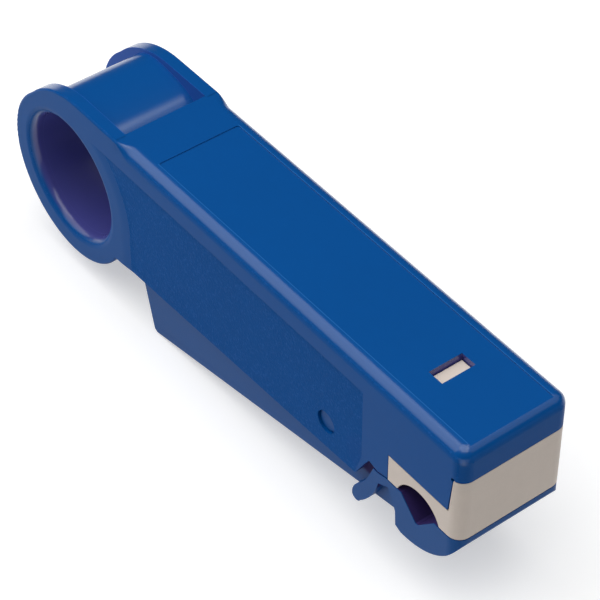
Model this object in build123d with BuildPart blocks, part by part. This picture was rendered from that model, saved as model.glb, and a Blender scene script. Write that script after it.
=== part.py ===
from build123d import *
import math
import os

os.makedirs("parts", exist_ok=True)

# Envelope in mm. X runs to the front, Y across, Z up, Z = 0 under the lever pad.
length = 138.0
width = 24.2
height = 44.9
front_x = length / 2
half_w = width / 2
tiny = 0.01

# Walls of the body moulding
side_wall = 1.45
top_wall = 2.2
hood_wall = 1.8
end_wall = 1.5
inner_half = half_w - side_wall
edge_r = 2.6
ceiling_z = height - top_wall

# Finger ring: a rolled hole, a wall round it and a groove down to a drum
bore_r = 13.4
roll_r = 2.1
ring_wall = 5.2
ring_r = bore_r + ring_wall
ring_drop = 22.3
ring_x = ring_r - front_x
ring_z = height - ring_drop
hole_ahead = 0.5
hole_rise = 0.7
hole_x = ring_x + hole_ahead
hole_z = ring_z + hole_rise
drum_r = 9.9
drum_ahead = 1.8
drum_rise = 11.0
drum_x = ring_x + drum_ahead
drum_z = ring_z + drum_rise
drum_wall = 2.6
flange = 2.8
flange_edge_r = 0.45
groove_half = half_w - flange

# Flatter crown of the flanges: an arc that leaves the top and ends just inside the ring
crown_reach = 5.4
crown_foot_depth = 0.43
crown_foot_angle = 135.4
crown_blend_r = 6.0
crown_x = ring_x + crown_reach
crown_foot_x = ring_x + (ring_r - crown_foot_depth) * math.cos(math.radians(crown_foot_angle))
crown_foot_z = ring_z + (ring_r - crown_foot_depth) * math.sin(math.radians(crown_foot_angle))
crown_dx = crown_x - crown_foot_x
crown_dz = height - crown_foot_z
crown_r = (crown_dx**2 + crown_dz**2) / (2 * crown_dz)

# End of the top and of the channel at the ring
block_overlap = 0.2
groove_back = 0.8
shoulder_r = 0.5
block_x = ring_x + ring_r - block_overlap
groove_end_x = block_x - groove_back

# Hood, seat of the cartridge and the tooth beside it
hood_drop = 7.26
seat_drop = 8.24
seat_back = 18.9
tooth_tip_back = 3.1
tooth_top_back = 2.2
relief_r = 0.45
hood_z = height - hood_drop
seat_z = hood_z - seat_drop
seat_x = front_x - seat_back
tooth_tip_x = front_x - tooth_tip_back
tooth_top_x = front_x - tooth_top_back

# Top of the lever's jaw, and the pivot
jaw_drop = 6.5
jaw_top_z = seat_z - jaw_drop
pin_back = 36.6
pin_drop = 0.4
pin_x = front_x - pin_back
pin_z = jaw_top_z - pin_drop
pin_r = 2.4
pin_press = 0.01
pin_run = 0.06
pin_sunk = 0.75
pin_chamfer = 0.3
pivot_boss_r = 4.2

# Side walls: lower edge, and their front end above the lever's tab
neck_reach = 16.0
neck_drop = 9.45
nose_back = 28.1
nose_drop = 5.9
cheek_gap = 0.5
wall_rear = (ring_x + neck_reach, ring_z - neck_drop)
wall_front = (front_x - nose_back, pin_z - nose_drop)
nose_steps = [(6.5, 6.15), (4.1, 6.8), (3.0, 5.2), (0.6, 0.9)]

# Shallow panels in the side walls
panel_depth = 0.25
panel_drop = 6.0
panel_ahead = 2.0
below = 12.0
panel_top_z = height - panel_drop
panel_front_x = wall_front[0] + panel_ahead

# Place for a label in the top, and the window over the latch
label_depth = 0.2
label_behind = 28.7
label_back = 0.8
label_edge = 2.9
label_corner_r = 0.6
label_rear_x = ring_x + label_behind
label_front_x = front_x - label_back
label_half = half_w - label_edge
window_long = 3.5
window_half = 3.7
window_x0 = seat_x
window_x1 = window_x0 + window_long

# Ribs under the top, stop behind the cartridge, spring post
rib_t = 1.2
rib_depth = 3.0
rib_behind = 30.4
rib_pitch = 9.0
rib_count = 3
rib_sink = 0.5
stop_back = 2.7
stop_drop = 9.7
rib_first_x = ring_x + rib_behind
stop_x = seat_x - stop_back
stop_z = ceiling_z - stop_drop
spring_back = 28.4
spring_x = pin_x - spring_back
post_r = 5.2
post_drop = 9.3
post_z = ceiling_z - post_drop
nib_r = 2.7
nib_h = 2.2

# Lever: arm in the channel
side_gap = 0.15
lever_half = inner_half - side_gap
lever_wall = 1.7
lever_floor = 2.1
lever_edge_r = 0.45
arm_corner_r = 0.6
seat_boss_r = 5.2
seat_boss_sink = 1.0
lever_seat_z = 12.4
pad_behind = 26.9
pad_round_drop = 0.033
heel_step = (-1.0, 0.6)
tail_step = (20.8, -2.0)
back_steps = [(10.6, -0.8), (5.6, 3.7), (-5.4, 3.7), (-12.4, 1.0)]
open_steps = (-3.1, 7.6)
pad_rear_x = ring_x + pad_behind

# Lever: jaw with its V and belly, slot behind it, tab in front of the wall, all from the V's point
apex_back = 10.7
apex_drop = 4.3
v_apex = (front_x - apex_back, jaw_top_z - apex_drop)
v_flat = 0.3
v_half = 4.4
jaw_front_gap = 0.05
jaw_front_x = front_x - jaw_front_gap
lip_drop = 1.14
lip_z = jaw_top_z - lip_drop
pad_end_step = (-4.8, -3.585)
nose_core_steps = [(-1.3, -5.4), (2.7, -3.8), (2.7, 3.8)]
belly_steps = [(3.9, -4.1), (-4.2, -5.9)]
slot_steps = [(-5.6, -5.2), (-5.8, -1.8), (-7.9, 2.6), (-10.7, 1.2)]
tab_front_steps = [(-12.2, -3.2), (-15.5, -7.7)]
tab_tip_steps = [(-16.9, -8.4), (-17.8, -7.4)]
tab_back_steps = [(-17.3, -5.2), (-14.7, -1.8), (-13.2, 1.1), (-12.1, 3.8)]
tab_root_steps = [(-10.8, 3.7), (-8.7, 4.3)]
pad_end_x = v_apex[0] + pad_end_step[0]
lever_slope = (v_apex[1] + pad_end_step[1] + pad_round_drop) / (pad_end_x - pad_rear_x)

# Cartridge
cart_gap = 0.15
tooth_gap = 0.35
jaw_gap = 0.3
cart_side_gap = 0.2
shell_drop = 1.74
core_sink = 1.0
core_lap = 0.5
cart_x0 = seat_x + cart_gap
cart_bottom_z = jaw_top_z + jaw_gap
cart_half = inner_half - cart_side_gap
wing_top_z = seat_z - cart_gap
plate_top_z = hood_z - cart_gap
shell_top_z = hood_z - shell_drop
plate_back_x = tooth_tip_x + tooth_gap
arch_back = 10.55
arch_sink = 1.8
arch_r = 6.0
arch_x = front_x - arch_back
arch_z = jaw_top_z - arch_sink
screw_edge = 2.1
screw_wall = 2.15
screw_y = cart_half - screw_edge
pocket_half_x = 5.15
pocket_half_y = screw_y - screw_wall
pocket_sink = 1.45
pocket_floor_z = seat_z - pocket_sink
slot_extra = 0.1
slot_rise = 0.6

# Blade stack
blade_pitch = 6.35
blade_t = 0.4
blade_w = 10.0
blade_sink = 0.5
blade_top_z = shell_top_z - blade_sink
inner_rise = 2.95
outer_step = 2.1
inner_edge_z = arch_z + inner_rise
outer_edge_z = inner_edge_z + outer_step
bevel_h = 1.1
edge_half = 0.04
stack_gap = 0.02
stack_w = 10.0
stack_end_gap = 0.05
stack_half = pocket_half_y - stack_end_gap
stack_floor_z = pocket_floor_z + stack_end_gap
dowel_r = 0.8
dowel_run = 0.04
dowel_dx = 2.8
dowel_drop = 3.0
dowel_z = blade_top_z - dowel_drop

# Lid with its latch tongue
lid_t = 1.5
lid_gap = 0.02
lid_back = 0.65
lid_z = shell_top_z + lid_gap
lid_x1 = plate_back_x - lid_back
latch_gap = 0.2
latch_drop = 1.56
latch_top_z = height - latch_drop
tongue_t = 1.3
tongue_rise = 2.18
tongue_half = window_half - latch_gap
tongue_z = lid_z + lid_t + tongue_rise
tongue_edge = 0.4
tongue_root = 0.3
tongue_corner = 0.8
tongue_bend = 2.2
tongue_r = 0.2

# Lid screws
screw_r = 0.95
screw_run = 0.1
screw_bite = 0.03
screw_head_r = 1.7
screw_head_h = 1.2
screw_len = 5.5
screw_slot_r = 0.8
screw_slot_h = 0.6
head_z = lid_z + lid_t + lid_gap

# Spring
wire_r = 0.5
wire_sides = 6
wire_gap = 0.03
coil_r = 4.0
spring_turns = 4.5


def around(centre, steps):
    """Points given by their steps from a centre."""
    return [(centre[0] + dx, centre[1] + dz) for dx, dz in steps]


def wall_z(x):
    """Height of the lower edge of the side wall at x."""
    share = (x - wall_rear[0]) / (wall_front[0] - wall_rear[0])
    return wall_rear[1] + share * (wall_front[1] - wall_rear[1])


def pad_z(x):
    """Height of the straight lower edge of the lever at x."""
    return (x - pad_rear_x) * lever_slope - pad_round_drop


# Body: front block with rounded long edges
with BuildPart() as body:
    with BuildSketch(Plane.XZ):
        with BuildLine():
            Polyline(
                (block_x, height),
                (front_x, height),
                (front_x, hood_z),
                (tooth_top_x, hood_z),
                (tooth_tip_x, seat_z),
                (seat_x, seat_z),
                (seat_x, jaw_top_z + cheek_gap),
                *around(wall_front, nose_steps),
                wall_front,
                (block_x, wall_z(block_x)),
                close=True,
            )
        make_face()
    extrude(amount=half_w, both=True)
    front_edges = body.edges().filter_by_position(Axis.X, front_x - tiny, front_x + tiny)
    top_edges = body.edges().filter_by(Axis.X).group_by(Axis.Z)[-1]
    nose_edges = front_edges.filter_by(Axis.Y).sort_by(Axis.Z)[-1:]
    fillet(top_edges + nose_edges + front_edges.filter_by(Axis.Z), radius=edge_r)

    # Relief at the root of the tooth
    with BuildSketch(Plane.XZ):
        with Locations((tooth_top_x, hood_z)):
            Circle(relief_r)
    extrude(amount=half_w, both=True, mode=Mode.SUBTRACT)

    # Ring and its neck, edges nearly square
    with BuildSketch(Plane.XZ) as ring_face:
        with BuildLine():
            TangentArc((crown_x, height), (crown_foot_x, crown_foot_z), tangent=(-1, 0))
            Polyline(
                (crown_foot_x, crown_foot_z),
                (ring_x, ring_z),
                wall_rear,
                (block_x, wall_z(block_x)),
                (block_x, height),
                (crown_x, height),
            )
        make_face()
        with Locations((ring_x, ring_z)):
            Circle(ring_r)
        fillet(ring_face.vertices().sort_by(Axis.X)[0], radius=crown_blend_r)
    extrude(amount=half_w, both=True)
    rim = body.edges().filter_by(GeomType.CIRCLE)
    rim = rim.filter_by(lambda e: min(abs(e.radius - ring_r), abs(e.radius - crown_r)) < tiny)
    fillet(rim, radius=flange_edge_r)

    # Finger hole, rolled at both faces
    with BuildSketch(Plane.XZ):
        with Locations((hole_x, hole_z)):
            Circle(bore_r)
    extrude(amount=half_w, both=True, mode=Mode.SUBTRACT)
    hole_rims = body.edges().filter_by(GeomType.CIRCLE).filter_by(lambda e: abs(e.radius - bore_r) < tiny)
    fillet(hole_rims, radius=roll_r)

    # Groove around the ring, down to the drum and up to the end of the top
    with BuildSketch(Plane.XZ):
        with BuildLine():
            Polyline(
                (-length, -height),
                (groove_end_x, -height),
                (groove_end_x, 2 * height),
                (-length, 2 * height),
                close=True,
            )
        make_face()
        with Locations((drum_x, drum_z)):
            Circle(drum_r, mode=Mode.SUBTRACT)
        with Locations((hole_x, hole_z)):
            Circle(bore_r + drum_wall, mode=Mode.SUBTRACT)
    extrude(amount=groove_half, both=True, mode=Mode.SUBTRACT)
    shoulder = body.edges().filter_by(Axis.Y)
    shoulder = shoulder.filter_by_position(Axis.X, groove_end_x - tiny, groove_end_x + tiny)
    fillet(shoulder.group_by(Axis.Z)[-1], radius=shoulder_r)

    # Channel, open below; the web of the ring stays in front of it
    with BuildSketch(Plane.XZ):
        with BuildLine():
            Polyline(
                (groove_end_x + end_wall, ceiling_z),
                (front_x - hood_wall, ceiling_z),
                (front_x - hood_wall, -height),
                (groove_end_x + end_wall, -height),
                close=True,
            )
        make_face()
    extrude(amount=inner_half, both=True, mode=Mode.SUBTRACT)

    # Ribs across the top and the stop behind the cartridge
    rib_places = [(rib_first_x + rib_pitch * i, ceiling_z - rib_depth / 2) for i in range(rib_count)]
    with BuildSketch(Plane.XZ):
        with Locations(*rib_places):
            Rectangle(rib_t, rib_depth + 2 * rib_sink)
        with Locations((stop_x, (ceiling_z + stop_z) / 2)):
            Rectangle(rib_t, ceiling_z - stop_z + 2 * rib_sink)
    extrude(amount=inner_half + rib_sink, both=True)

    # Post that holds the spring's upper end
    with BuildSketch(Plane.XY.offset(post_z)):
        with Locations((spring_x, 0)):
            Circle(post_r)
    extrude(amount=ceiling_z - post_z + rib_sink)
    with BuildSketch(Plane.XY.offset(post_z - nib_h)):
        with Locations((spring_x, 0)):
            Circle(nib_r)
    extrude(amount=nib_h)

    # Panels in the side walls
    for side in (Plane.XZ.offset(half_w), Plane.XZ.offset(panel_depth - half_w)):
        with BuildSketch(side):
            with BuildLine():
                Polyline(
                    (ring_x, panel_top_z),
                    (panel_front_x, panel_top_z),
                    (panel_front_x, pin_z),
                    (panel_front_x - panel_ahead, wall_front[1]),
                    (panel_front_x - panel_ahead, wall_rear[1] - below),
                    (block_x, wall_rear[1] - below),
                    (block_x, ring_z),
                    (ring_x, ring_z),
                    close=True,
                )
            make_face()
            with Locations((ring_x, ring_z)):
                Circle(ring_r, mode=Mode.SUBTRACT)
        extrude(amount=-panel_depth, mode=Mode.SUBTRACT)

    # Place for a label and the window over the latch
    with BuildSketch(Plane.XY.offset(height - label_depth)):
        with Locations(((label_rear_x + label_front_x) / 2, 0)):
            RectangleRounded(label_front_x - label_rear_x, 2 * label_half, label_corner_r)
    extrude(amount=label_depth, mode=Mode.SUBTRACT)
    with BuildSketch(Plane.XY.offset(height)):
        with Locations(((window_x0 + window_x1) / 2, 0)):
            Rectangle(window_x1 - window_x0, 2 * window_half)
    extrude(amount=-top_wall - rib_sink, mode=Mode.SUBTRACT)

    # Pin hole through both walls
    with BuildSketch(Plane.XZ):
        with Locations((pin_x, pin_z)):
            Circle(pin_r + pin_press)
    extrude(amount=half_w, both=True, mode=Mode.SUBTRACT)

body.part.label = "body"
export_step(body.part, "parts/body.step")


# Lever: arm in the channel, then the full-width front
with BuildPart() as lever:
    with BuildSketch(Plane.XZ):
        with BuildLine():
            FilletPolyline(
                *around((ring_x, ring_z), [tail_step]),
                *around((pad_rear_x, 0), [heel_step]),
                (pad_rear_x, pad_z(pad_rear_x)),
                (pad_end_x, pad_z(pad_end_x)),
                *around(v_apex, nose_core_steps),
                *around((pin_x, pin_z), back_steps),
                close=True,
                radius=arm_corner_r,
            )
        make_face()
    extrude(amount=lever_half, both=True)
    low_edges = lever.edges().filter_by(lambda e: abs(abs(e.center().Y) - lever_half) < tiny)
    low_edges = low_edges.filter_by(lambda e: e.center().Z < lever_seat_z and e.center().X < pad_end_x)
    fillet(low_edges, radius=lever_edge_r)

    # Open the arm from above
    with BuildSketch(Plane.XZ):
        with BuildLine():
            Polyline(
                (pad_rear_x + open_steps[0], height),
                (pad_rear_x - heel_step[0], pad_z(pad_rear_x) + lever_floor),
                (pin_x + open_steps[1], pad_z(pin_x + open_steps[1]) + lever_floor),
                (pin_x + open_steps[1], height),
                close=True,
            )
        make_face()
    extrude(amount=lever_half - lever_wall, both=True, mode=Mode.SUBTRACT)

    # Cheeks, flush with the body
    with BuildSketch(Plane.XZ):
        with BuildLine():
            belly = ThreePointArc((jaw_front_x, lip_z), *around(v_apex, belly_steps))
            slot = Polyline(belly @ 1, *around(v_apex, slot_steps))
            tab_front = ThreePointArc(slot @ 1, *around(v_apex, tab_front_steps))
            tab_tip = ThreePointArc(tab_front @ 1, *around(v_apex, tab_tip_steps))
            tab_back = Spline(tab_tip @ 1, *around(v_apex, tab_back_steps))
            Polyline(
                tab_back @ 1,
                *around(v_apex, tab_root_steps),
                (v_apex[0] - v_half, jaw_top_z),
                (v_apex[0] - v_flat, v_apex[1]),
                (v_apex[0] + v_flat, v_apex[1]),
                (v_apex[0] + v_half, jaw_top_z),
                (jaw_front_x, jaw_top_z),
                (jaw_front_x, lip_z),
            )
        make_face()
    extrude(amount=half_w, both=True)

    # V across the whole width, so the arm's front end stays out of it
    with BuildSketch(Plane.XZ):
        with BuildLine():
            Polyline(
                (v_apex[0] - v_half, jaw_top_z),
                (v_apex[0] - v_half, height),
                (v_apex[0] + v_half, height),
                (v_apex[0] + v_half, jaw_top_z),
                (v_apex[0] + v_flat, v_apex[1]),
                (v_apex[0] - v_flat, v_apex[1]),
                close=True,
            )
        make_face()
    extrude(amount=half_w, both=True, mode=Mode.SUBTRACT)

    # Front corners rounded like the cartridge above them
    with BuildSketch(Plane.XY.offset(-height)) as lever_plan:
        with Locations((jaw_front_x - length / 2, 0)):
            Rectangle(length, width)
        fillet(lever_plan.vertices().group_by(Axis.X)[-1], radius=edge_r)
    extrude(amount=2 * height, mode=Mode.INTERSECT)

    # Tube around the pivot and seat for the spring
    with BuildSketch(Plane.XZ):
        with Locations((pin_x, pin_z)):
            Circle(pivot_boss_r)
    extrude(amount=lever_half, both=True)
    with BuildSketch(Plane.XY.offset(pad_z(spring_x) + seat_boss_sink)):
        with Locations((spring_x, 0)):
            Circle(seat_boss_r)
    extrude(amount=lever_seat_z - pad_z(spring_x) - seat_boss_sink)
    with BuildSketch(Plane.XY.offset(lever_seat_z)):
        with Locations((spring_x, 0)):
            Circle(nib_r)
    extrude(amount=nib_h)
    with BuildSketch(Plane.XZ):
        with Locations((pin_x, pin_z)):
            Circle(pin_r + pin_run)
    extrude(amount=half_w, both=True, mode=Mode.SUBTRACT)

lever.part.label = "lever"
export_step(lever.part, "parts/lever.step")

# Pivot pin, sunk below both walls
with BuildPart() as pivot_pin:
    with BuildSketch(Plane.XZ):
        with Locations((pin_x, pin_z)):
            Circle(pin_r)
    extrude(amount=half_w - pin_sunk, both=True)
    chamfer(pivot_pin.edges().filter_by(GeomType.CIRCLE), length=pin_chamfer)

pivot_pin.part.label = "pivot_pin"
export_step(pivot_pin.part, "parts/pivot_pin.step")

# Compression spring between the post and the lever
spring_z0 = lever_seat_z + wire_r + wire_gap
spring_h = post_z - lever_seat_z - 2 * (wire_r + wire_gap)
with BuildPart() as lever_spring:
    with BuildLine(Plane.XY.offset(spring_z0)) as coil:
        Helix(pitch=spring_h / spring_turns, height=spring_h, radius=coil_r, center=(spring_x, 0, 0))
    with BuildSketch(Plane(origin=coil.line @ 0, z_dir=coil.line % 0)):
        RegularPolygon(wire_r, wire_sides)
    sweep(path=coil.line, is_frenet=True)

lever_spring.part.label = "lever_spring"
export_step(lever_spring.part, "parts/lever_spring.step")

# Cartridge shell: wings flush with the walls, a core between them, a front plate
with BuildPart() as cartridge_shell:
    with BuildSketch(Plane.XZ):
        with BuildLine():
            Polyline(
                (cart_x0, cart_bottom_z),
                (front_x, cart_bottom_z),
                (front_x, plate_top_z),
                (tooth_top_x + cart_gap, plate_top_z),
                (plate_back_x, wing_top_z),
                (cart_x0, wing_top_z),
                close=True,
            )
        make_face()
    extrude(amount=half_w, both=True)
    nose = cartridge_shell.edges().filter_by(Axis.Z).filter_by_position(Axis.X, front_x - tiny, front_x + tiny)
    fillet(nose, radius=edge_r)
    with BuildSketch(Plane.XZ):
        with BuildLine():
            Polyline(
                (cart_x0, wing_top_z - core_sink),
                (plate_back_x + core_lap, wing_top_z - core_sink),
                (plate_back_x + core_lap, shell_top_z),
                (cart_x0, shell_top_z),
                close=True,
            )
        make_face()
    extrude(amount=cart_half, both=True)

    # Cable arch
    with BuildSketch(Plane.XZ):
        with Locations((arch_x, arch_z)):
            Circle(arch_r)
    extrude(amount=half_w, both=True, mode=Mode.SUBTRACT)

    # Pocket for the blades, and a slot down to the arch for each
    with BuildSketch(Plane.XY.offset(pocket_floor_z)):
        with Locations((arch_x, 0)):
            Rectangle(2 * pocket_half_x, 2 * pocket_half_y)
    extrude(amount=shell_top_z - pocket_floor_z, mode=Mode.SUBTRACT)
    with BuildSketch(Plane.XY.offset(cart_bottom_z + slot_rise)):
        with Locations((arch_x, -blade_pitch / 2), (arch_x, blade_pitch / 2)):
            Rectangle(2 * pocket_half_x, blade_t + 2 * slot_extra)
    extrude(amount=pocket_floor_z - cart_bottom_z, mode=Mode.SUBTRACT)
    with BuildSketch(Plane.XY.offset(shell_top_z - screw_len + screw_head_h)):
        with Locations((arch_x, -screw_y), (arch_x, screw_y)):
            Circle(screw_r + screw_bite)
    extrude(amount=screw_len, mode=Mode.SUBTRACT)

cartridge_shell.part.label = "cartridge_shell"
export_step(cartridge_shell.part, "parts/cartridge_shell.step")

# Lid with a sprung tongue that ends in the latch pad
with BuildPart() as cartridge_lid:
    with BuildSketch(Plane.XY.offset(lid_z)):
        with Locations(((cart_x0 + lid_x1) / 2, 0)):
            Rectangle(lid_x1 - cart_x0, 2 * cart_half)
    extrude(amount=lid_t)
    with BuildSketch(Plane.XZ):
        with BuildLine():
            FilletPolyline(
                (lid_x1 - tongue_edge, lid_z + lid_t - tongue_root),
                (lid_x1 - tongue_edge, tongue_z),
                (lid_x1 - tongue_edge - tongue_corner, tongue_z + tongue_t),
                (window_x1 - latch_gap, tongue_z + tongue_t),
                (window_x1 - latch_gap, latch_top_z),
                (window_x0 + latch_gap, latch_top_z),
                (window_x0 + latch_gap, tongue_z),
                (lid_x1 - tongue_bend, tongue_z),
                (lid_x1 - tongue_bend, lid_z + lid_t - tongue_root),
                close=True,
                radius=tongue_r,
            )
        make_face()
    extrude(amount=tongue_half, both=True)
    with BuildSketch(Plane.XY.offset(lid_z)):
        with Locations((arch_x, -screw_y), (arch_x, screw_y)):
            Circle(screw_r + screw_run)
    extrude(amount=lid_t, mode=Mode.SUBTRACT)

cartridge_lid.part.label = "cartridge_lid"
export_step(cartridge_lid.part, "parts/cartridge_lid.step")

# Blades: flat strips with a ground edge, threaded on two dowels
for blade_name, blade_y, edge_z in (
    ("blade_inner", -blade_pitch / 2, inner_edge_z),
    ("blade_outer", blade_pitch / 2, outer_edge_z),
):
    with BuildPart() as blade:
        with BuildSketch(Plane.YZ.offset(arch_x)):
            with BuildLine():
                Polyline(
                    (blade_y - blade_t / 2, blade_top_z),
                    (blade_y + blade_t / 2, blade_top_z),
                    (blade_y + blade_t / 2, edge_z + bevel_h),
                    (blade_y + edge_half, edge_z),
                    (blade_y - edge_half, edge_z),
                    (blade_y - blade_t / 2, edge_z + bevel_h),
                    close=True,
                )
            make_face()
        extrude(amount=blade_w / 2, both=True)
        with BuildSketch(Plane.XZ):
            with Locations((arch_x - dowel_dx, dowel_z), (arch_x + dowel_dx, dowel_z)):
                Circle(dowel_r + dowel_run)
        extrude(amount=half_w, both=True, mode=Mode.SUBTRACT)
    blade.part.label = blade_name
    export_step(blade.part, "parts/" + blade_name + ".step")

# Spacer between the blades and a packer on either side
stack_face = blade_pitch / 2 + blade_t / 2 + stack_gap
for block_name, y_from, y_to in (
    ("blade_spacer", blade_t / 2 + stack_gap - blade_pitch / 2, blade_pitch / 2 - blade_t / 2 - stack_gap),
    ("blade_packer_near", -stack_half, -stack_face),
    ("blade_packer_far", stack_face, stack_half),
):
    with BuildPart() as block:
        with BuildSketch(Plane.XZ.offset(-y_to)):
            with Locations((arch_x, (stack_floor_z + blade_top_z) / 2)):
                Rectangle(stack_w, blade_top_z - stack_floor_z)
            with Locations((arch_x - dowel_dx, dowel_z), (arch_x + dowel_dx, dowel_z)):
                Circle(dowel_r + dowel_run, mode=Mode.SUBTRACT)
        extrude(amount=y_to - y_from)
    block.part.label = block_name
    export_step(block.part, "parts/" + block_name + ".step")

# Two dowels through the stack
with BuildPart() as blade_dowels:
    with BuildSketch(Plane.XZ):
        with Locations((arch_x - dowel_dx, dowel_z), (arch_x + dowel_dx, dowel_z)):
            Circle(dowel_r)
    extrude(amount=stack_half, both=True)

blade_dowels.part.label = "blade_dowels"
export_step(blade_dowels.part, "parts/blade_dowels.step")

# Two screws that hold the lid
with BuildPart() as lid_screws:
    with BuildSketch(Plane.XY.offset(head_z - screw_len)):
        with Locations((arch_x, -screw_y), (arch_x, screw_y)):
            Circle(screw_r)
    extrude(amount=screw_len)
    with BuildSketch(Plane.XY.offset(head_z)):
        with Locations((arch_x, -screw_y), (arch_x, screw_y)):
            Circle(screw_head_r)
    extrude(amount=screw_head_h)
    with BuildSketch(Plane.XY.offset(head_z + screw_head_h - screw_slot_h)):
        with Locations((arch_x, -screw_y), (arch_x, screw_y)):
            RegularPolygon(screw_slot_r, 6)
    extrude(amount=screw_slot_h, mode=Mode.SUBTRACT)

lid_screws.part.label = "lid_screws"
export_step(lid_screws.part, "parts/lid_screws.step")
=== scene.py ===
"""Dresses a coaxial cable stripper: its mouldings, its cartridge and its steel parts, in a plain studio."""

import logging
import math
from dataclasses import dataclass, field
from enum import Enum
from typing import Dict, List, Sequence, Tuple

import bpy
import numpy as np
from mathutils import Matrix, Vector


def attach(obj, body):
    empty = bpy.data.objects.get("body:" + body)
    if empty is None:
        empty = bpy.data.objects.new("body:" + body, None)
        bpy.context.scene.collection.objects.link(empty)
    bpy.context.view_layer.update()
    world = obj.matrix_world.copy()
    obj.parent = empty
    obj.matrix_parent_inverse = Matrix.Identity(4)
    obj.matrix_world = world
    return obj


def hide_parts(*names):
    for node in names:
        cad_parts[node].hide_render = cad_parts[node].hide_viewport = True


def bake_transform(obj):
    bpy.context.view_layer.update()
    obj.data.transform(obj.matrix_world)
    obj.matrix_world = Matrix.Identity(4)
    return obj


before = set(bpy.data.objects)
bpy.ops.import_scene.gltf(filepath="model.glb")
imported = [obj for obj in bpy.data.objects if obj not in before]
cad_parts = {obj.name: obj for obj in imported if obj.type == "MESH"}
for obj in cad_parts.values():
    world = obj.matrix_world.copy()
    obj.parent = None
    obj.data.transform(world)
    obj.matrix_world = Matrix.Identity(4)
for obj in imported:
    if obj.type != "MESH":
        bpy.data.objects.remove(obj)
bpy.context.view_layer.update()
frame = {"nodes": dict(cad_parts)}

log = logging.getLogger("cable_stripper")

Colour = Tuple[float, float, float, float]
Socket = bpy.types.NodeSocket


def mm(value: float) -> float:
    """Turns millimetres into the scene's metres."""
    return value / 1000.0


def smooth(share: np.ndarray) -> np.ndarray:
    """Eases a share from 0 to 1: three times its square less twice its cube."""
    return share * share * (3.0 - 2.0 * share)


def tone(red: int, green: int, blue: int) -> Colour:
    """Turns a screen colour into the linear colour that the shaders take.

    Args:
        red: Red from 0 to 255.
        green: Green from 0 to 255.
        blue: Blue from 0 to 255.

    Returns:
        The linear colour with full opacity.
    """

    def linear(step: int) -> float:
        """Undoes the screen curve for one channel."""
        share = step / 255.0
        return share / 12.92 if share <= 0.04045 else ((share + 0.055) / 1.055) ** 2.4

    return (linear(red), linear(green), linear(blue), 1.0)


@dataclass(frozen=True)
class ToolPlaces:
    """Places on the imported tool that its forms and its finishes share, in millimetres; pairs are X and Z."""

    half_width: float = 12.1
    height: float = 44.9
    groove_half: float = 9.3
    bore: Tuple[float, float] = (-49.9, 23.3)
    bore_r: float = 13.4
    ring: Tuple[float, float] = (-50.4, 22.6)
    jaw: Tuple[float, float] = (58.3, 22.5)
    slot: Tuple[float, float] = (47.0, 20.6)
    notch: Tuple[float, float] = (42.8, 22.2)


PLACES = ToolPlaces()


def spot(place: Tuple[float, float], inner: float, outer: float) -> Tuple[float, float, float, float]:
    """Gives a hole's painted shade in metres: its axis, and the distances where the painted shade starts to
    fade and ends.

    Args:
        place: X and Z of its axis in millimetres.
        inner: Distance up to which the painted shade is full, in millimetres.
        outer: Distance past which there is none, in millimetres.

    Returns:
        The same four values in metres.
    """
    return (mm(place[0]), mm(place[1]), mm(inner), mm(outer))


class Grain(Enum):
    """How the mould's steel was finished where a surface was moulded."""

    SATIN = "satin"
    SPARKED = "sparked"


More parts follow.
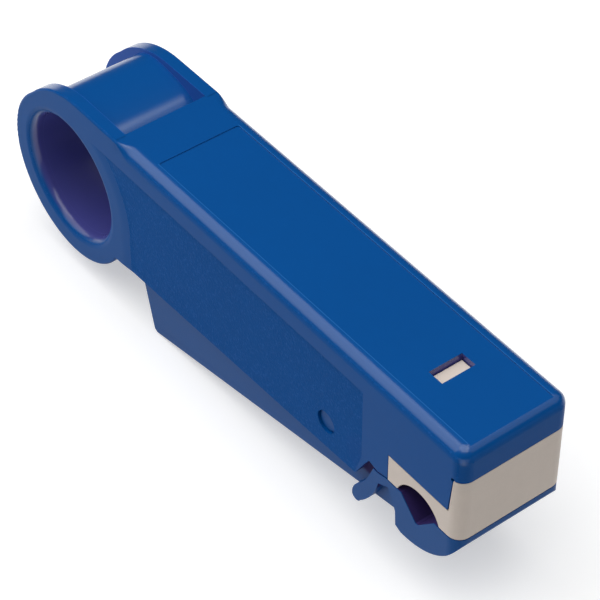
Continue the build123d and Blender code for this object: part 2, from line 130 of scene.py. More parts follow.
class Graph:
    """Adds nodes to a tree and links them with short calls."""

    def __init__(self, tree: bpy.types.NodeTree) -> None:
        """Keeps the tree that the nodes go into."""
        self.tree = tree
        self.column = 0

    def add(self, kind: str, **settings: object) -> bpy.types.Node:
        """Adds a node.

        Args:
            kind: Blender's identifier of the node.
            settings: Properties to set on it.

        Returns:
            The new node.
        """
        node = self.tree.nodes.new(kind)
        node.location = (180 * self.column, 0)
        self.column += 1
        for name, value in settings.items():
            setattr(node, name, value)
        return node

    def link(self, source: Socket, target: Socket) -> None:
        """Joins an output to an input."""
        self.tree.links.new(source, target)

    def math(self, operation: str, first: object, second: object = 0.0, clamp: bool = False) -> Socket:
        """Adds a sum of two numbers or sockets.

        Args:
            operation: Blender's name of the operation.
            first: A number or an output socket.
            second: A number or an output socket.
            clamp: Whether the result stays between 0 and 1.

        Returns:
            The output that carries the result.
        """
        node = self.add("ShaderNodeMath", operation=operation, use_clamp=clamp)
        for socket, value in zip(node.inputs, (first, second)):
            if isinstance(value, Socket):
                self.link(value, socket)
            else:
                socket.default_value = value
        return node.outputs[0]

    def ramp(self, source: Socket, low: float, high: float) -> Socket:
        """Rises smoothly from 0 to 1.

        Args:
            source: The value that is read.
            low: Where the rise starts.
            high: Where it ends.

        Returns:
            The output that carries the ramp.
        """
        node = self.add("ShaderNodeMapRange", interpolation_type="SMOOTHSTEP")
        self.link(source, node.inputs["Value"])
        node.inputs["From Min"].default_value = low
        node.inputs["From Max"].default_value = high
        return node.outputs["Result"]

    def fall(self, source: Socket, low: float, high: float) -> Socket:
        """Falls smoothly from 1 at low to 0 at high."""
        return self.math("SUBTRACT", 1.0, self.ramp(source, low, high))

    def product(self, first: object, *others: object) -> Socket:
        """Multiplies numbers and sockets.

        Args:
            first: A number or an output socket.
            others: More of them, at least one.

        Returns:
            The output that carries the product.
        """
        total = first
        for other in others:
            total = self.math("MULTIPLY", total, other)
        return total

    def between(self, source: Socket, low: float, high: float) -> Socket:
        """Gives 1 where a value lies between low and high, and 0 elsewhere."""
        return self.product(self.math("GREATER_THAN", source, low), self.math("LESS_THAN", source, high))

    def axes(self, place: Socket) -> Tuple[Socket, Socket, Socket]:
        """Splits a place.

        Args:
            place: The place in metres.

        Returns:
            Its X, its distance from the middle plane, and its Z.
        """
        split = self.add("ShaderNodeSeparateXYZ")
        self.link(place, split.inputs[0])
        return split.outputs["X"], self.math("ABSOLUTE", split.outputs["Y"]), split.outputs["Z"]

    def mix(self, share: Socket, first: object, second: object) -> Socket:
        """Blends two colours.

        Args:
            share: 0 gives the first colour, 1 the second.
            first: A colour or an output socket.
            second: A colour or an output socket.

        Returns:
            The output that carries the blend.
        """
        node = self.add("ShaderNodeMix", data_type="RGBA")
        self.link(share, node.inputs["Factor"])
        for socket, value in ((node.inputs[6], first), (node.inputs[7], second)):
            if isinstance(value, Socket):
                self.link(value, socket)
            else:
                socket.default_value = value
        return node.outputs[2]


class EffectGroups:
    """Node groups that several finishes share, each built once."""

    WIDE_SCALE = 38.0
    NARROW_SCALE = 420.0
    NARROW_SHARE = 0.4
    CLOUD_LEVEL = 0.7
    PIT_SHARE = 0.6
    FLECK_LEVEL = (0.5, 0.72)
    STROKE_STRETCH = 0.025

    def __init__(self) -> None:
        """Builds the groups."""
        self.drift = self._drift()
        self.grain = self._grain()
        self.strokes = self._strokes()

    @staticmethod
    def _open(
        name: str, inputs: Sequence[Tuple[str, str, object]], outputs: Sequence[Tuple[str, str]]
    ) -> Tuple[bpy.types.NodeTree, Graph, bpy.types.Node, bpy.types.Node]:
        """Makes an empty group with its sockets.

        Args:
            name: Name of the group.
            inputs: Name, socket type and default of each input.
            outputs: Name and socket type of each output.

        Returns:
            The group, its graph, its input node and its output node.
        """
        group = bpy.data.node_groups.new(name, "ShaderNodeTree")
        for label, kind, value in inputs:
            socket = group.interface.new_socket(name=label, in_out="INPUT", socket_type=kind)
            if value is not None:
                socket.default_value = value
        for label, kind in outputs:
            group.interface.new_socket(name=label, in_out="OUTPUT", socket_type=kind)
        graph = Graph(group)
        return group, graph, graph.add("NodeGroupInput"), graph.add("NodeGroupOutput")

    def _drift(self) -> bpy.types.NodeTree:
        """Slow change of tone over a moulding.

        The colour is scaled by 1 plus the amount times a cloud, which is a wide noise plus a share of a
        narrow one, less its mean level.

        Returns:
            The group.
        """
        group, graph, entry, leave = self._open(
            "moulding_drift",
            (
                ("Vector", "NodeSocketVector", None),
                ("Colour", "NodeSocketColor", (0.5, 0.5, 0.5, 1.0)),
                ("Amount", "NodeSocketFloat", 0.1),
            ),
            (("Colour", "NodeSocketColor"),),
        )
        wide = graph.add("ShaderNodeTexNoise")
        wide.inputs["Scale"].default_value = self.WIDE_SCALE
        wide.inputs["Detail"].default_value = 3.0
        narrow = graph.add("ShaderNodeTexNoise")
        narrow.inputs["Scale"].default_value = self.NARROW_SCALE
        narrow.inputs["Detail"].default_value = 2.0
        for noise in (wide, narrow):
            graph.link(entry.outputs["Vector"], noise.inputs["Vector"])
        cloud = graph.math("ADD", wide.outputs[0], graph.product(narrow.outputs[0], self.NARROW_SHARE))
        swing = graph.product(graph.math("SUBTRACT", cloud, self.CLOUD_LEVEL), entry.outputs["Amount"])
        scale = graph.math("ADD", swing, 1.0)
        shade = graph.add("ShaderNodeVectorMath", operation="SCALE")
        graph.link(entry.outputs["Colour"], shade.inputs[0])
        graph.link(scale, shade.inputs["Scale"])
        graph.link(shade.outputs[0], leave.inputs["Colour"])
        return group

    def _grain(self) -> bpy.types.NodeTree:
        """Spark-eroded skin: noise with round pits for the height, and its peaks as lighter flecks.

        Returns:
            The group.
        """
        group, graph, entry, leave = self._open(
            "spark_grain",
            (
                ("Vector", "NodeSocketVector", None),
                ("Scale", "NodeSocketFloat", 2400.0),
            ),
            (("Height", "NodeSocketFloat"), ("Fleck", "NodeSocketFloat")),
        )
        coarse = graph.add("ShaderNodeTexNoise")
        coarse.inputs["Detail"].default_value = 4.0
        coarse.inputs["Roughness"].default_value = 0.62
        pits = graph.add("ShaderNodeTexVoronoi")
        pits.inputs["Randomness"].default_value = 1.0
        for texture in (coarse, pits):
            graph.link(entry.outputs["Vector"], texture.inputs["Vector"])
            graph.link(entry.outputs["Scale"], texture.inputs["Scale"])
        pit_depth = graph.product(pits.outputs["Distance"], self.PIT_SHARE)
        height = graph.math("ADD", coarse.outputs[0], pit_depth)
        graph.link(height, leave.inputs["Height"])
        graph.link(graph.ramp(coarse.outputs[0], *self.FLECK_LEVEL), leave.inputs["Fleck"])
        return group

    def _strokes(self) -> bpy.types.NodeTree:
        """Ground strokes along X: noise stretched forty times along the stroke.

        Returns:
            The group.
        """
        group, graph, entry, leave = self._open(
            "ground_strokes",
            (
                ("Vector", "NodeSocketVector", None),
                ("Scale", "NodeSocketFloat", 900.0),
            ),
            (("Height", "NodeSocketFloat"),),
        )
        stretch = graph.add("ShaderNodeMapping")
        stretch.inputs["Scale"].default_value = (self.STROKE_STRETCH, 1.0, 1.0)
        noise = graph.add("ShaderNodeTexNoise")
        noise.inputs["Detail"].default_value = 3.0
        graph.link(entry.outputs["Vector"], stretch.inputs["Vector"])
        graph.link(stretch.outputs[0], noise.inputs["Vector"])
        graph.link(entry.outputs["Scale"], noise.inputs["Scale"])
        graph.link(noise.outputs[0], leave.inputs["Height"])
        return group


def open_material(name: str) -> Tuple[bpy.types.Material, Graph, bpy.types.Node, Socket]:
    """Makes a material whose Principled shader is already on its output.

    Args:
        name: Name of the material.

    Returns:
        The material, its graph, its shader and the place that patterns read.
    """
    material = bpy.data.materials.new(name)
    material.use_nodes = True
    material.node_tree.nodes.clear()
    graph = Graph(material.node_tree)
    place = graph.add("ShaderNodeTexCoord").outputs["Object"]
    shader = graph.add("ShaderNodeBsdfPrincipled")
    leave = graph.add("ShaderNodeOutputMaterial")
    graph.link(shader.outputs[0], leave.inputs["Surface"])
    return material, graph, shader, place


@dataclass(frozen=True)
class MouldedFinish:
    """A coloured plastic as it leaves the mould, with painted shade and painted highlights from its masks.

    The distances are in metres. Those of the body's masks follow its side panels, its polished top, the
    groove between the ring's flanges, the latch window and the sunk field of the top.
    """

    name: str
    colour: Colour
    fleck: Colour
    roughness: float
    specular: float
    grain: Grain
    grain_scale: float = 2400.0
    grain_depth: float = mm(0.05)
    spark_rough: float = 0.22
    skin_height: float = 0.02
    satin_lift: float = 6.0
    satin_fleck: float = 0.25
    satin_rough: float = 0.05
    drift: float = 0.12
    panel_inner: float = mm(11.70)
    panel_outer: float = mm(11.93)
    polish: float = 0.0
    polish_roughness: float = 0.2
    polish_half: Tuple[float, float] = (mm(11.2), mm(11.95))
    polish_front: Tuple[float, float] = (mm(68.2), mm(68.9))
    inner_wall: Tuple[float, float] = (mm(9.24), mm(9.36))
    inner_wall_end: float = mm(-32.9)
    # painted sheen: a lighter purple blue on the groove's walls that stands in for the light they catch
    groove_wall_painted_sheen: Colour = tone(42, 94, 180)
    satin_low: Tuple[float, float] = (mm(41.6), mm(42.6))
    satin_ahead: Tuple[float, float] = (mm(-32.6), mm(-31.6))
    # painted shade: a darker purple blue that stands in for the shadow inside holes and the latch window
    shade: Colour = tone(76, 74, 146)
    shade_spots: Tuple[Tuple[float, float, float, float], ...] = ()
    shade_share: float = 0.0
    shade_rough: float = 0.3
    window_half: float = mm(9.0)
    window_level: Tuple[float, float] = (mm(42.72), mm(44.62))
    window_front: float = mm(60.0)
    rim_half: Tuple[float, float] = (mm(9.2), mm(9.36))
    rim_level: float = mm(44.85)
    rim_start: float = mm(-21.7)
    # painted highlight: a lighter blue line on the arris beside the sunk field of the top
    rim_painted_highlight: Colour = tone(34, 102, 174)

    def build(self, groups: EffectGroups) -> bpy.types.Material:
        """Makes the material.

        Args:
            groups: The shared effects.

        Returns:
            The finished material.
        """
        material, graph, shader, place = open_material(self.name)
        shader.inputs["Specular IOR Level"].default_value = self.specular
        if self.polish > 0.0:
            shader.inputs["Coat Roughness"].default_value = self.polish_roughness
            graph.link(self._polish_mask(graph, place), shader.inputs["Coat Weight"])

        grain = graph.add("ShaderNodeGroup", node_tree=groups.grain)
        graph.link(place, grain.inputs["Vector"])
        grain.inputs["Scale"].default_value = self.grain_scale
        drift = graph.add("ShaderNodeGroup", node_tree=groups.drift)
        graph.link(place, drift.inputs["Vector"])
        drift.inputs["Colour"].default_value = self.colour
        drift.inputs["Amount"].default_value = self.drift

        fleck, height = grain.outputs["Fleck"], grain.outputs["Height"]
        bump = graph.add("ShaderNodeBump")
        bump.inputs["Distance"].default_value = self.grain_depth
        if self.grain is Grain.SPARKED:
            panel = self._panel_mask(graph, place)
            colour = graph.mix(graph.product(fleck, panel), drift.outputs[0], self.fleck)
            rough = graph.math("ADD", self.roughness, graph.product(panel, self.spark_rough))
            height = graph.product(height, graph.math("ADD", panel, self.skin_height))
            bump.inputs["Strength"].default_value = 1.0
        else:
            colour = graph.mix(graph.product(fleck, self.satin_fleck), drift.outputs[0], self.fleck)
            rough = graph.math("ADD", self.roughness, graph.product(fleck, self.satin_rough))
            bump.inputs["Strength"].default_value = self.skin_height * self.satin_lift
        graph.link(height, bump.inputs["Height"])
        if self.polish > 0.0:
            # painted sheen: the groove's walls take a lighter purple blue for the light on them
            colour = graph.mix(self._wall_mask(graph, place), colour, self.groove_wall_painted_sheen)
        # painted shade: holes and the window's walls are darkened, and made rougher, where shadow falls inside
        # them
        if self.shade_share > 0.0:
            shaded = self._shade_mask(graph, place)
            colour = graph.mix(shaded, colour, self.shade)
            rough = graph.math("ADD", rough, graph.product(shaded, self.shade_rough))
        if self.polish > 0.0:
            # painted highlight: a light line along the arris beside the sunk field of the top
            colour = graph.mix(self._rim_highlight_mask(graph, place), colour, self.rim_painted_highlight)
        graph.link(colour, shader.inputs["Base Color"])
        graph.link(rough, shader.inputs["Roughness"])
        graph.link(bump.outputs[0], shader.inputs["Normal"])
        return material

    def _shade_mask(self, graph: Graph, place: Socket) -> Socket:
        """Gives the painted shade of holes, a darker tone that stands in for the shadow inside them: full near
        the axis of each hole, and none past its outer distance.

        The window's walls, which lie between two levels near the middle plane, take it too.

        Args:
            graph: The material's graph.
            place: The place in metres.

        Returns:
            The mask, times the shade's share.
        """
        x, across, z = graph.axes(place)
        total = graph.product(
            graph.between(z, *self.window_level),
            graph.math("LESS_THAN", across, self.window_half),
            graph.between(x, self.satin_ahead[0], self.window_front),
        )
        within = graph.fall(across, *self.polish_half)
        for hole_x, hole_z, inner, outer in self.shade_spots:
            ahead = graph.math("SUBTRACT", x, hole_x)
            above = graph.math("SUBTRACT", z, hole_z)
            square = graph.math("ADD", graph.product(ahead, ahead), graph.product(above, above))
            near = graph.fall(graph.math("SQRT", square), inner, outer)
            total = graph.math("MAXIMUM", total, graph.product(near, within))
        return graph.product(total, self.shade_share)

    def _wall_mask(self, graph: Graph, place: Socket) -> Socket:
        """Picks out the walls of the groove between the two ring flanges, which lose the gloss and take the
        painted sheen.

        Args:
            graph: The material's graph.
            place: The place in metres.

        Returns:
            The mask.
        """
        x, across, _ = graph.axes(place)
        wall = graph.between(across, *self.inner_wall)
        return graph.product(wall, graph.math("LESS_THAN", x, self.inner_wall_end))

    def _rim_highlight_mask(self, graph: Graph, place: Socket) -> Socket:
        """Gives the painted highlight line on the arris beside the sunk field of the top.

        Args:
            graph: The material's graph.
            place: The place in metres.

        Returns:
            The mask.
        """
        x, across, z = graph.axes(place)
        return graph.product(
            graph.between(across, *self.rim_half),
            graph.math("GREATER_THAN", z, self.rim_level),
            graph.math("GREATER_THAN", x, self.rim_start),
        )

    def _polish_mask(self, graph: Graph, place: Socket) -> Socket:
        """Gives the gloss of the polished top and edges, which ends at the sides, front and groove walls.

        Args:
            graph: The material's graph.
            place: The place in metres.

        Returns:
            The mask, times the polish.
        """
        x, across, z = graph.axes(place)
        satin = graph.product(graph.ramp(x, *self.satin_ahead), graph.fall(z, *self.satin_low))
        return graph.product(
            graph.fall(across, *self.polish_half),
            graph.fall(x, *self.polish_front),
            graph.math("SUBTRACT", 1.0, self._wall_mask(graph, place)),
            graph.math("SUBTRACT", 1.0, satin),
            self.polish,
        )

    def _panel_mask(self, graph: Graph, place: Socket) -> Socket:
        """Gives 1 on the sunk side panels, whose distance from the middle plane lies between two values."""
        return graph.between(graph.axes(place)[1], self.panel_inner, self.panel_outer)


@dataclass(frozen=True)
class SteelFinish:
    """Bare steel, ground or drawn."""

    name: str
    colour: Colour
    roughness: float
    stroke_scale: float = 900.0
    stroke_rough: float = 0.15
    stroke_depth: float = mm(0.01)
    stroke_strength: float = 0.4

    def build(self, groups: EffectGroups) -> bpy.types.Material:
        """Makes the material.

        Args:
            groups: The shared effects.

        Returns:
            The finished material.
        """
        material, graph, shader, place = open_material(self.name)
        shader.inputs["Metallic"].default_value = 1.0
        drift = graph.add("ShaderNodeGroup", node_tree=groups.drift)
        graph.link(place, drift.inputs["Vector"])
        drift.inputs["Colour"].default_value = self.colour
        strokes = graph.add("ShaderNodeGroup", node_tree=groups.strokes)
        graph.link(place, strokes.inputs["Vector"])
        strokes.inputs["Scale"].default_value = self.stroke_scale
        rough = graph.math("ADD", self.roughness, graph.product(strokes.outputs[0], self.stroke_rough))
        bump = graph.add("ShaderNodeBump")
        bump.inputs["Distance"].default_value = self.stroke_depth
        bump.inputs["Strength"].default_value = self.stroke_strength
        graph.link(strokes.outputs[0], bump.inputs["Height"])
        graph.link(drift.outputs[0], shader.inputs["Base Color"])
        graph.link(rough, shader.inputs["Roughness"])
        graph.link(bump.outputs[0], shader.inputs["Normal"])
        return material


@dataclass
class Finishes:
    """Every finish of the tool, built once."""

    groups: EffectGroups
    body_blue: bpy.types.Material = field(init=False)
    lever_blue: bpy.types.Material = field(init=False)
    tan: bpy.types.Material = field(init=False)
    black: bpy.types.Material = field(init=False)
    blade: bpy.types.Material = field(init=False)
    wire: bpy.types.Material = field(init=False)

    def __post_init__(self) -> None:
        """Builds the materials from their values."""
        self.body_blue = MouldedFinish(
            "body_blue",
            colour=tone(0, 78, 149),
            fleck=tone(24, 88, 164),
            roughness=0.42,
            specular=0.06,
            grain=Grain.SPARKED,
            grain_scale=1900.0,
            polish=1.0,
            # painted shade inside the bore and the notch
            shade_spots=(spot(PLACES.bore, PLACES.bore_r, 14.3), spot(PLACES.notch, 3.6, 5.2)),
            shade_share=0.9,
        ).build(self.groups)
        self.lever_blue = MouldedFinish(
            "lever_blue",
            colour=tone(2, 76, 144),
            fleck=tone(18, 80, 148),
            roughness=0.4,
            specular=0.1,
            grain=Grain.SATIN,
            polish_half=(mm(11.85), mm(12.06)),
            # painted shade: a darker purple for the shadow inside the V jaw, the slot and the notch
            shade=tone(56, 42, 98),
            shade_spots=(
                spot(PLACES.jaw, 5.6, 8.0),
                spot(PLACES.slot, 2.0, 3.2),
                spot(PLACES.notch, 4.0, 5.6),
            ),
            shade_share=0.97,
        ).build(self.groups)
        self.tan = MouldedFinish(
            "cartridge_tan",
            colour=tone(222, 209, 198),
            fleck=tone(229, 217, 207),
            roughness=0.42,
            specular=0.3,
            grain=Grain.SATIN,
            skin_height=0.03,
        ).build(self.groups)
        self.black = MouldedFinish(
            "packer_black",
            colour=tone(38, 38, 40),
            fleck=tone(52, 52, 54),
            roughness=0.45,
            specular=0.5,
            grain=Grain.SATIN,
        ).build(self.groups)
        self.blade = SteelFinish("blade_steel", tone(196, 198, 200), 0.22).build(self.groups)
        self.wire = SteelFinish(
            "spring_wire", tone(160, 162, 165), 0.3, stroke_scale=1400.0
        ).build(self.groups)


class NodeDresser:
    """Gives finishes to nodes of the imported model."""

    def __init__(self, nodes: Dict[str, bpy.types.Object]) -> None:
        """Keeps the nodes by name."""
        self.nodes = nodes

    def dress(self, name: str, material: bpy.types.Material) -> None:
        """Puts one material in every slot of a node.

        Args:
            name: Name of the node.
            material: The finish that it takes.
        """
        node = self.nodes[name]
        if not node.material_slots:
            node.data.materials.append(material)
        for slot in node.material_slots:
            slot.material = material
        log.info("%s takes %s", name, material.name)


class SurfaceMaker:
    """Makes pieces from surfaces of two parameters."""

    SHARP_FROM = math.radians(28.0)

    @classmethod
    def tube(
        cls, name: str, x: np.ndarray, y: np.ndarray, z: np.ndarray, material: bpy.types.Material
    ) -> bpy.types.Object:
        """Makes a closed piece from a row of closed loops, with a flat face at each end.

        Args:
            name: Name of the piece.
            x: X of each point in millimetres, in an array of loops by points of a loop.
            y: Y of each point, in the same way.
            z: Z of each point, in the same way.
            material: The finish.

        Returns:
            The piece.
        """
        points = np.stack((x, y, z), axis=-1) / 1000.0
        rows, around = points.shape[:2]
        row = np.arange(rows - 1)[:, None] * around
        here = np.arange(around)[None, :]
        after = (here + 1) % around
        corners = (row + here, row + after, row + around + after, row + around + here)
        faces = np.stack(corners, axis=-1).reshape(-1, 4)
        ends = [list(range(around))[::-1], list(range((rows - 1) * around, rows * around))]
        mesh = bpy.data.meshes.new(name)
        mesh.from_pydata(points.reshape(-1, 3).tolist(), [], faces.tolist() + ends)
        mesh.update()
        mesh.polygons.foreach_set("use_smooth", [True] * (len(faces) + 2))
        mesh.set_sharp_from_angle(angle=cls.SHARP_FROM)
        mesh.materials.append(material)
        piece = bpy.data.objects.new(name, mesh)
        bpy.context.scene.collection.objects.link(piece)
        return piece


@dataclass(frozen=True)
class GrooveFloor:
    """Floor of the groove between the ring's flanges, in millimetres.

    Along X it leaves the top of the drum level, falls on a wide arc and turns down on a tight one behind
    the top's rear edge. Its underside is an arc inside the drum's wall. The second parameter runs across.
    """

    start: Tuple[float, float] = (-48.6, 43.53)
    wide_r: float = 36.8
    wide_turn: float = math.radians(15.0)
    tight_r: float = 9.0
    tight_turn: float = math.radians(74.0)
    bore: Tuple[float, float] = PLACES.bore
    under_r: float = 14.9
    under_turn: Tuple[float, float] = (math.radians(25.0), math.radians(85.0))
    half: float = PLACES.groove_half + 0.02
    steps: Tuple[int, int] = (24, 9)

    def build(self, material: bpy.types.Material) -> bpy.types.Object:
        """Makes the floor as one closed piece.

        Args:
            material: The finish.

        Returns:
            The piece.
        """
        wide = np.linspace(0.0, self.wide_turn, self.steps[0])
        tight = np.linspace(self.wide_turn, self.tight_turn, self.steps[0])[1:]
        join_x = self.start[0] + self.wide_r * math.sin(self.wide_turn)
        join_z = self.start[1] - self.wide_r * (1.0 - math.cos(self.wide_turn))
        wide_x = self.start[0] + self.wide_r * np.sin(wide)
        wide_z = self.start[1] - self.wide_r * (1.0 - np.cos(wide))
        tight_x = join_x + self.tight_r * (np.sin(tight) - math.sin(self.wide_turn))
        tight_z = join_z - self.tight_r * (math.cos(self.wide_turn) - np.cos(tight))
        under = np.linspace(*self.under_turn, self.steps[0])
        under_x = self.bore[0] + self.under_r * np.cos(under)
        under_z = self.bore[1] + self.under_r * np.sin(under)
        loop_x = np.concatenate((wide_x, tight_x, tight_x[-1:], under_x))
        loop_z = np.concatenate((wide_z, tight_z, under_z[:1], under_z))
        y, x = np.meshgrid(np.linspace(-self.half, self.half, self.steps[1]), loop_x, indexing="ij")
        z = np.broadcast_to(loop_z[None, :], x.shape)
        return SurfaceMaker.tube("groove_floor", x, y, z, material)


@dataclass(frozen=True)
class CornerRunout:
    """Where the block's rounded long edge runs out into the square edge of a flange, in millimetres.

    The round's radius grows along X from the flange's to the block's. Each section is a quarter circle whose
    loop closes through the block, below the top and inside the side, with its inner corner cut off.
    """

    x0: float = -32.1
    x1: float = -27.6
    r0: float = 0.45
    r1: float = 2.6
    half: float = PLACES.half_width
    top: float = PLACES.height
    sink: float = 2.6
    cut: float = 1.0
    steps: Tuple[int, int] = (20, 14)

    def build(self, name: str, side: float, material: bpy.types.Material) -> bpy.types.Object:
        """Makes the run-out of one side.

        Args:
            name: Name of the piece.
            side: 1 for the far side, -1 for the near side.
            material: The finish.

        Returns:
            The piece.
        """
        run = np.linspace(0.0, 1.0, self.steps[0])
        radius = self.r0 + (self.r1 - self.r0) * smooth(run)
        turn = np.linspace(0.0, 0.5 * math.pi, self.steps[1])
        y_arc = self.half - radius[:, None] * (1.0 - np.sin(turn)[None, :])
        z_arc = self.top - radius[:, None] * (1.0 - np.cos(turn)[None, :])
        column = np.ones((self.steps[0], 1))
        inside, below = self.half - self.sink, self.top - self.sink
        y_back = (column * self.half, column * (self.half - self.cut), column * inside)
        z_back = (column * below, column * below, column * (self.top - self.cut))
        y = np.concatenate((column * inside, y_arc, *y_back), axis=1)
        z = np.concatenate((column * self.top, z_arc, *z_back), axis=1)
        x = np.broadcast_to((self.x0 + (self.x1 - self.x0) * run)[:, None], y.shape)
        return SurfaceMaker.tube(name, x, side * y, z, material)


@dataclass(frozen=True)
class PanelRunout:
    """Where the sunk side panel rises to the ring's flat face, in millimetres.

    One parameter follows the ring's circle and then a straight line down to the wall's lower edge, whose
    height is a line in X. Over the other, across the slope's width, the depth eases from none to the
    panel's.
    """

    centre: Tuple[float, float] = PLACES.ring
    ring_r: float = 18.55
    width: float = 4.6
    step_back: float = 0.22
    panel_top: float = 38.9
    half: float = PLACES.half_width
    sunk: float = 0.25
    back: float = 0.6
    low_x: Tuple[float, float] = (-34.4, 40.9)
    low_z: Tuple[float, float] = (13.15, 16.6)
    low_lift: float = 0.05
    low_rows: int = 5
    steps: Tuple[int, int] = (60, 16)

    def build(self, name: str, side: float, material: bpy.types.Material) -> bpy.types.Object:
        """Makes the slope of one side.

        Args:
            name: Name of the piece.
            side: 1 for the far side, -1 for the near side.
            material: The finish.

        Returns:
            The piece.
        """
        share = np.linspace(0.0, 1.0, self.steps[1])
        reach = self.ring_r + self.width * share
        start = np.arcsin((self.panel_top - self.centre[1]) / reach)
        bend = np.linspace(1.0, 0.0, self.steps[0])
        angle = bend[:, None] * start[None, :]
        x_arc = self.centre[0] + reach[None, :] * np.cos(angle)
        z_arc = self.centre[1] + reach[None, :] * np.sin(angle)
        drop = np.linspace(0.0, 1.0, self.low_rows + 1)[1:]
        x_low = np.broadcast_to((self.centre[0] + reach - self.step_back)[None, :], (drop.size, share.size))
        edge = np.interp(self.centre[0] + reach, self.low_x, self.low_z) + self.low_lift
        z_low = self.centre[1] + drop[:, None] * (edge - self.centre[1])[None, :]
        x = np.concatenate((x_arc, x_low))
        z = np.concatenate((z_arc, z_low))
        depth = self.sunk * smooth(share)
        y = np.broadcast_to((self.half - depth)[None, :], x.shape)
        loop_x = np.concatenate((x, x[:, ::-1]), axis=1)
        loop_z = np.concatenate((z, z[:, ::-1]), axis=1)
        loop_y = np.concatenate((y, np.full_like(y, self.half - self.back)), axis=1)
        return SurfaceMaker.tube(name, loop_x, side * loop_y, loop_z, material)


@dataclass
class BodyMoulding:
    """The finger ring, the top, the side walls and the hood, with the pivot pin pressed into them."""

    shell: str = "body"
    pin: str = "pivot_pin"
    carrier: str = "frame"
    floor: GrooveFloor = field(default_factory=GrooveFloor)
    corner: CornerRunout = field(default_factory=CornerRunout)
    panel: PanelRunout = field(default_factory=PanelRunout)

    def dress(self, dresser: NodeDresser, finishes: Finishes) -> None:
        """Gives the body and its pin their blue, and blends the body's forms into each other.

        Args:
            dresser: Gives a node its finish.
            finishes: The finishes.
        """
        dresser.dress(self.shell, finishes.body_blue)
        dresser.dress(self.pin, finishes.lever_blue)
        pieces = [self.floor.build(finishes.body_blue)]
        for label, side in (("near", -1.0), ("far", 1.0)):
            pieces.append(self.corner.build(f"corner_runout_{label}", side, finishes.body_blue))
            pieces.append(self.panel.build(f"panel_runout_{label}", side, finishes.body_blue))
        for piece in pieces:
            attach(piece, self.carrier)
            log.info("%s rides on %s", piece.name, self.carrier)


@dataclass(frozen=True)
class SpringCoil:
    """Compression spring with closed ends, in millimetres.

    Along the first parameter the wire's centre runs round a circle while it climbs: turn on turn over the
    first and the last of them, and faster between. The second parameter goes round the wire.
    """

    place: Tuple[float, float] = (4.0, 0.0)
    low: float = 12.43
    high: float = 33.37
    coil_r: float = 4.0
    wire_r: float = 0.5
    turns: float = 7.0
    closed: float = 1.1
    ease: float = 0.6
    shut_gap: float = 0.02
    steps: Tuple[int, int] = (280, 10)

    def build(self, material: bpy.types.Material) -> bpy.types.Object:
        """Makes the spring as one closed piece.

        Args:
            material: The finish.

        Returns:
            The piece.
        """
        turn = np.linspace(0.0, self.turns, self.steps[0])
        near_end = np.minimum(turn, self.turns - turn)
        share = smooth(np.clip((near_end - self.closed) / self.ease + 0.5, 0.0, 1.0))
        span = self.high - self.low - 2.0 * self.wire_r
        shut = 2.0 * self.wire_r + self.shut_gap
        step = turn[1] - turn[0]
        open_pitch = (span - shut * np.sum(1.0 - share[1:]) * step) / (np.sum(share[1:]) * step)
        pitch = shut + (open_pitch - shut) * share
        climb = np.concatenate(([0.0], np.cumsum(pitch[1:]) * step))
        angle = 2.0 * math.pi * turn[:, None]
        lean = np.linspace(0.0, 2.0 * math.pi, self.steps[1], endpoint=False)[None, :]
        reach = self.coil_r + self.wire_r * np.cos(lean)
        x = self.place[0] + reach * np.cos(angle)
        y = self.place[1] + reach * np.sin(angle)
        z = self.low + self.wire_r + climb[:, None] + self.wire_r * np.sin(lean)
        return SurfaceMaker.tube("squeeze_spring", x, y, z, material)


@dataclass
class SqueezeLever:
    """The lever with its V jaw, and the spring that holds it shut."""

    arm: str = "lever"
    packed_spring: str = "lever_spring"
    upper_body: str = "frame"
    lower_body: str = "squeeze_lever"
    spring: SpringCoil = field(default_factory=SpringCoil)

    def dress(self, dresser: NodeDresser, finishes: Finishes) -> None:
        """Gives the lever its blue, hides the packed spring and puts in the built one.

        Args:
            dresser: Gives a node its finish.
            finishes: The finishes.
        """
        dresser.dress(self.arm, finishes.lever_blue)
        coil = self.spring.build(finishes.wire)
        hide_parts(self.packed_spring)
        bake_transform(coil)
        log.info("%s stands between %s and %s", coil.name, self.upper_body, self.lower_body)


@dataclass
class BladeCartridge:
    """The cartridge: shell, lid with its latch pad, and the blades between their blocks."""

    plastic: Tuple[str, ...] = ("cartridge_shell", "cartridge_lid")
    blocks: Tuple[str, ...] = ("blade_spacer", "blade_packer_near", "blade_packer_far")
    steel: Tuple[str, ...] = ("blade_inner", "blade_outer", "blade_dowels")
    screws: str = "lid_screws"

    def dress(self, dresser: NodeDresser, finishes: Finishes) -> None:
        """Gives each piece its finish.

        Args:
            dresser: Gives a node its finish.
            finishes: The finishes.
        """
        for name in self.plastic:
            dresser.dress(name, finishes.tan)
        for name in self.blocks:
            dresser.dress(name, finishes.black)
        for name in self.steel:
            dresser.dress(name, finishes.blade)
        dresser.dress(self.screws, finishes.wire)


@dataclass
class SoftBox:
    """A square lamp with a diffusing front."""

    name: str
    place: Tuple[float, float, float]
    aim: Tuple[float, float, float]
    side: float
    power: float

    def build(self) -> bpy.types.Object:
        """Makes the lamp and turns it to its aim.

        Returns:
            The lamp.
        """
        data = bpy.data.lights.new(self.name, "AREA")
        data.shape = "SQUARE"
        data.size = self.side
        data.energy = self.power
        lamp = bpy.data.objects.new(self.name, data)
        bpy.context.scene.collection.objects.link(lamp)
        lamp.location = self.place
        lamp.rotation_euler = (Vector(self.aim) - Vector(self.place)).to_track_quat("-Z", "Y").to_euler()
        return lamp


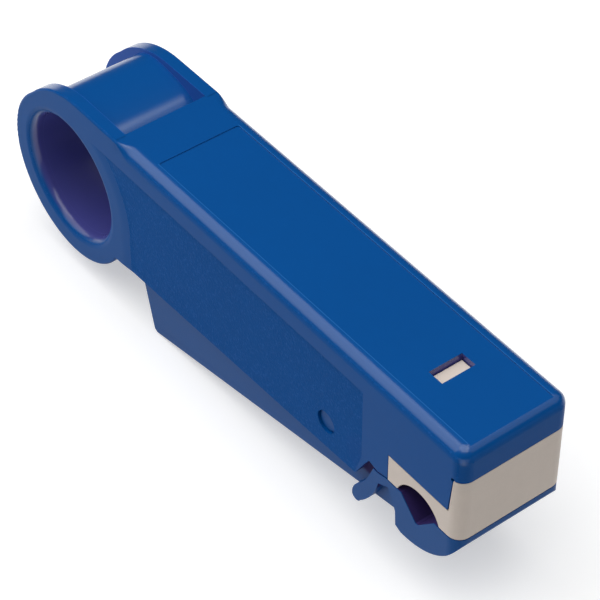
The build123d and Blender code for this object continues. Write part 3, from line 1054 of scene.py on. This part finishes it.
@dataclass
class Studio:
    """Floor, lamps, world and camera."""

    floor_half: float = 3.0
    floor_steps: int = 9
    floor_z: float = mm(-0.2)
    floor_tone: float = 0.68
    floor_glow: float = 0.48
    room_level: float = 0.035
    eye: Tuple[float, float, float] = (mm(264.1), mm(-196.1), mm(340.4))
    ahead: Tuple[float, float, float] = (-0.5684, 0.4376, -0.6967)
    right: Tuple[float, float, float] = (0.6098, 0.7926, 0.0004)
    lens: float = 145.5
    sensor: float = 36.0
    lamps: List[SoftBox] = field(
        default_factory=lambda: [
            SoftBox("near_left_box", (-0.57, -0.46, 0.70), (0.0, 0.0, 0.02), 1.1, 6.2),
            SoftBox("far_right_box", (0.38, 0.48, 0.86), (0.0, 0.0, 0.02), 0.95, 1.7),
            SoftBox("overhead_box", (0.17, -0.12, 1.17), (0.0, 0.0, 0.02), 1.15, 9.9),
        ]
    )

    def build(self) -> None:
        """Builds everything around the tool."""
        self._floor()
        self._world()
        for lamp in self.lamps:
            lamp.build()
        self._camera()

    def _floor(self) -> None:
        """Makes the floor: a grid of two parameters, level everywhere.

        Its glow, which only the camera and the reflections see, brings it to white outside the shadow.
        """
        steps = self.floor_steps
        run = np.linspace(-self.floor_half, self.floor_half, steps)
        across, along = np.meshgrid(run, run)
        points = np.stack((across, along, np.full_like(across, self.floor_z)), axis=-1).reshape(-1, 3)
        corner = (np.arange(steps - 1)[:, None] * steps + np.arange(steps - 1)[None, :]).reshape(-1)
        faces = np.stack((corner, corner + 1, corner + steps + 1, corner + steps), axis=1)
        mesh = bpy.data.meshes.new("floor")
        mesh.from_pydata(points.tolist(), [], faces.tolist())
        mesh.update()
        floor = bpy.data.objects.new("floor", mesh)
        bpy.context.scene.collection.objects.link(floor)
        material = bpy.data.materials.new("studio_floor")
        material.use_nodes = True
        material.node_tree.nodes.clear()
        graph = Graph(material.node_tree)
        shader = graph.add("ShaderNodeBsdfPrincipled")
        shader.inputs["Base Color"].default_value = (self.floor_tone, self.floor_tone, self.floor_tone, 1.0)
        shader.inputs["Roughness"].default_value = 0.9
        glow = graph.add("ShaderNodeEmission")
        glow.inputs["Color"].default_value = (1.0, 1.0, 1.0, 1.0)
        path = graph.add("ShaderNodeLightPath")
        added = graph.add("ShaderNodeAddShader")
        leave = graph.add("ShaderNodeOutputMaterial")
        seen = graph.math("ADD", path.outputs["Is Camera Ray"], path.outputs["Is Glossy Ray"])
        seen = graph.math("ADD", seen, path.outputs["Is Transmission Ray"], clamp=True)
        graph.link(graph.product(seen, self.floor_glow), glow.inputs["Strength"])
        graph.link(shader.outputs[0], added.inputs[0])
        graph.link(glow.outputs[0], added.inputs[1])
        graph.link(added.outputs[0], leave.inputs["Surface"])
        mesh.materials.append(material)

    def _world(self) -> None:
        """Fills the room with a plain dim light."""
        world = bpy.data.worlds.new("room")
        bpy.context.scene.world = world
        world.use_nodes = True
        world.node_tree.nodes.clear()
        graph = Graph(world.node_tree)
        room = graph.add("ShaderNodeBackground")
        room.inputs["Color"].default_value = (1.0, 1.0, 1.0, 1.0)
        room.inputs["Strength"].default_value = self.room_level
        leave = graph.add("ShaderNodeOutputWorld")
        graph.link(room.outputs[0], leave.inputs["Surface"])

    def _camera(self) -> None:
        """Sets the camera at the photograph's place, from the directions of its axes."""
        data = bpy.data.cameras.new("camera")
        data.lens = self.lens
        data.sensor_width = self.sensor
        camera = bpy.data.objects.new("camera", data)
        bpy.context.scene.collection.objects.link(camera)
        back = -Vector(self.ahead).normalized()
        side = Vector(self.right).normalized()
        up = back.cross(side).normalized()
        turn = Matrix((side, up, back)).transposed().to_4x4()
        camera.matrix_world = Matrix.Translation(self.eye) @ turn
        bpy.context.scene.camera = camera


def main() -> None:
    """Dresses the sub-assemblies in order, and builds the studio."""
    logging.basicConfig(level=logging.INFO, format="%(message)s")
    scene = bpy.context.scene
    scene.view_settings.view_transform = "Standard"
    finishes = Finishes(EffectGroups())
    dresser = NodeDresser(frame["nodes"])
    for assembly in (BodyMoulding(), SqueezeLever(), BladeCartridge()):
        assembly.dress(dresser, finishes)
        log.info("%s dressed", type(assembly).__name__)
    Studio().build()


if __name__ == "__main__":
    main()
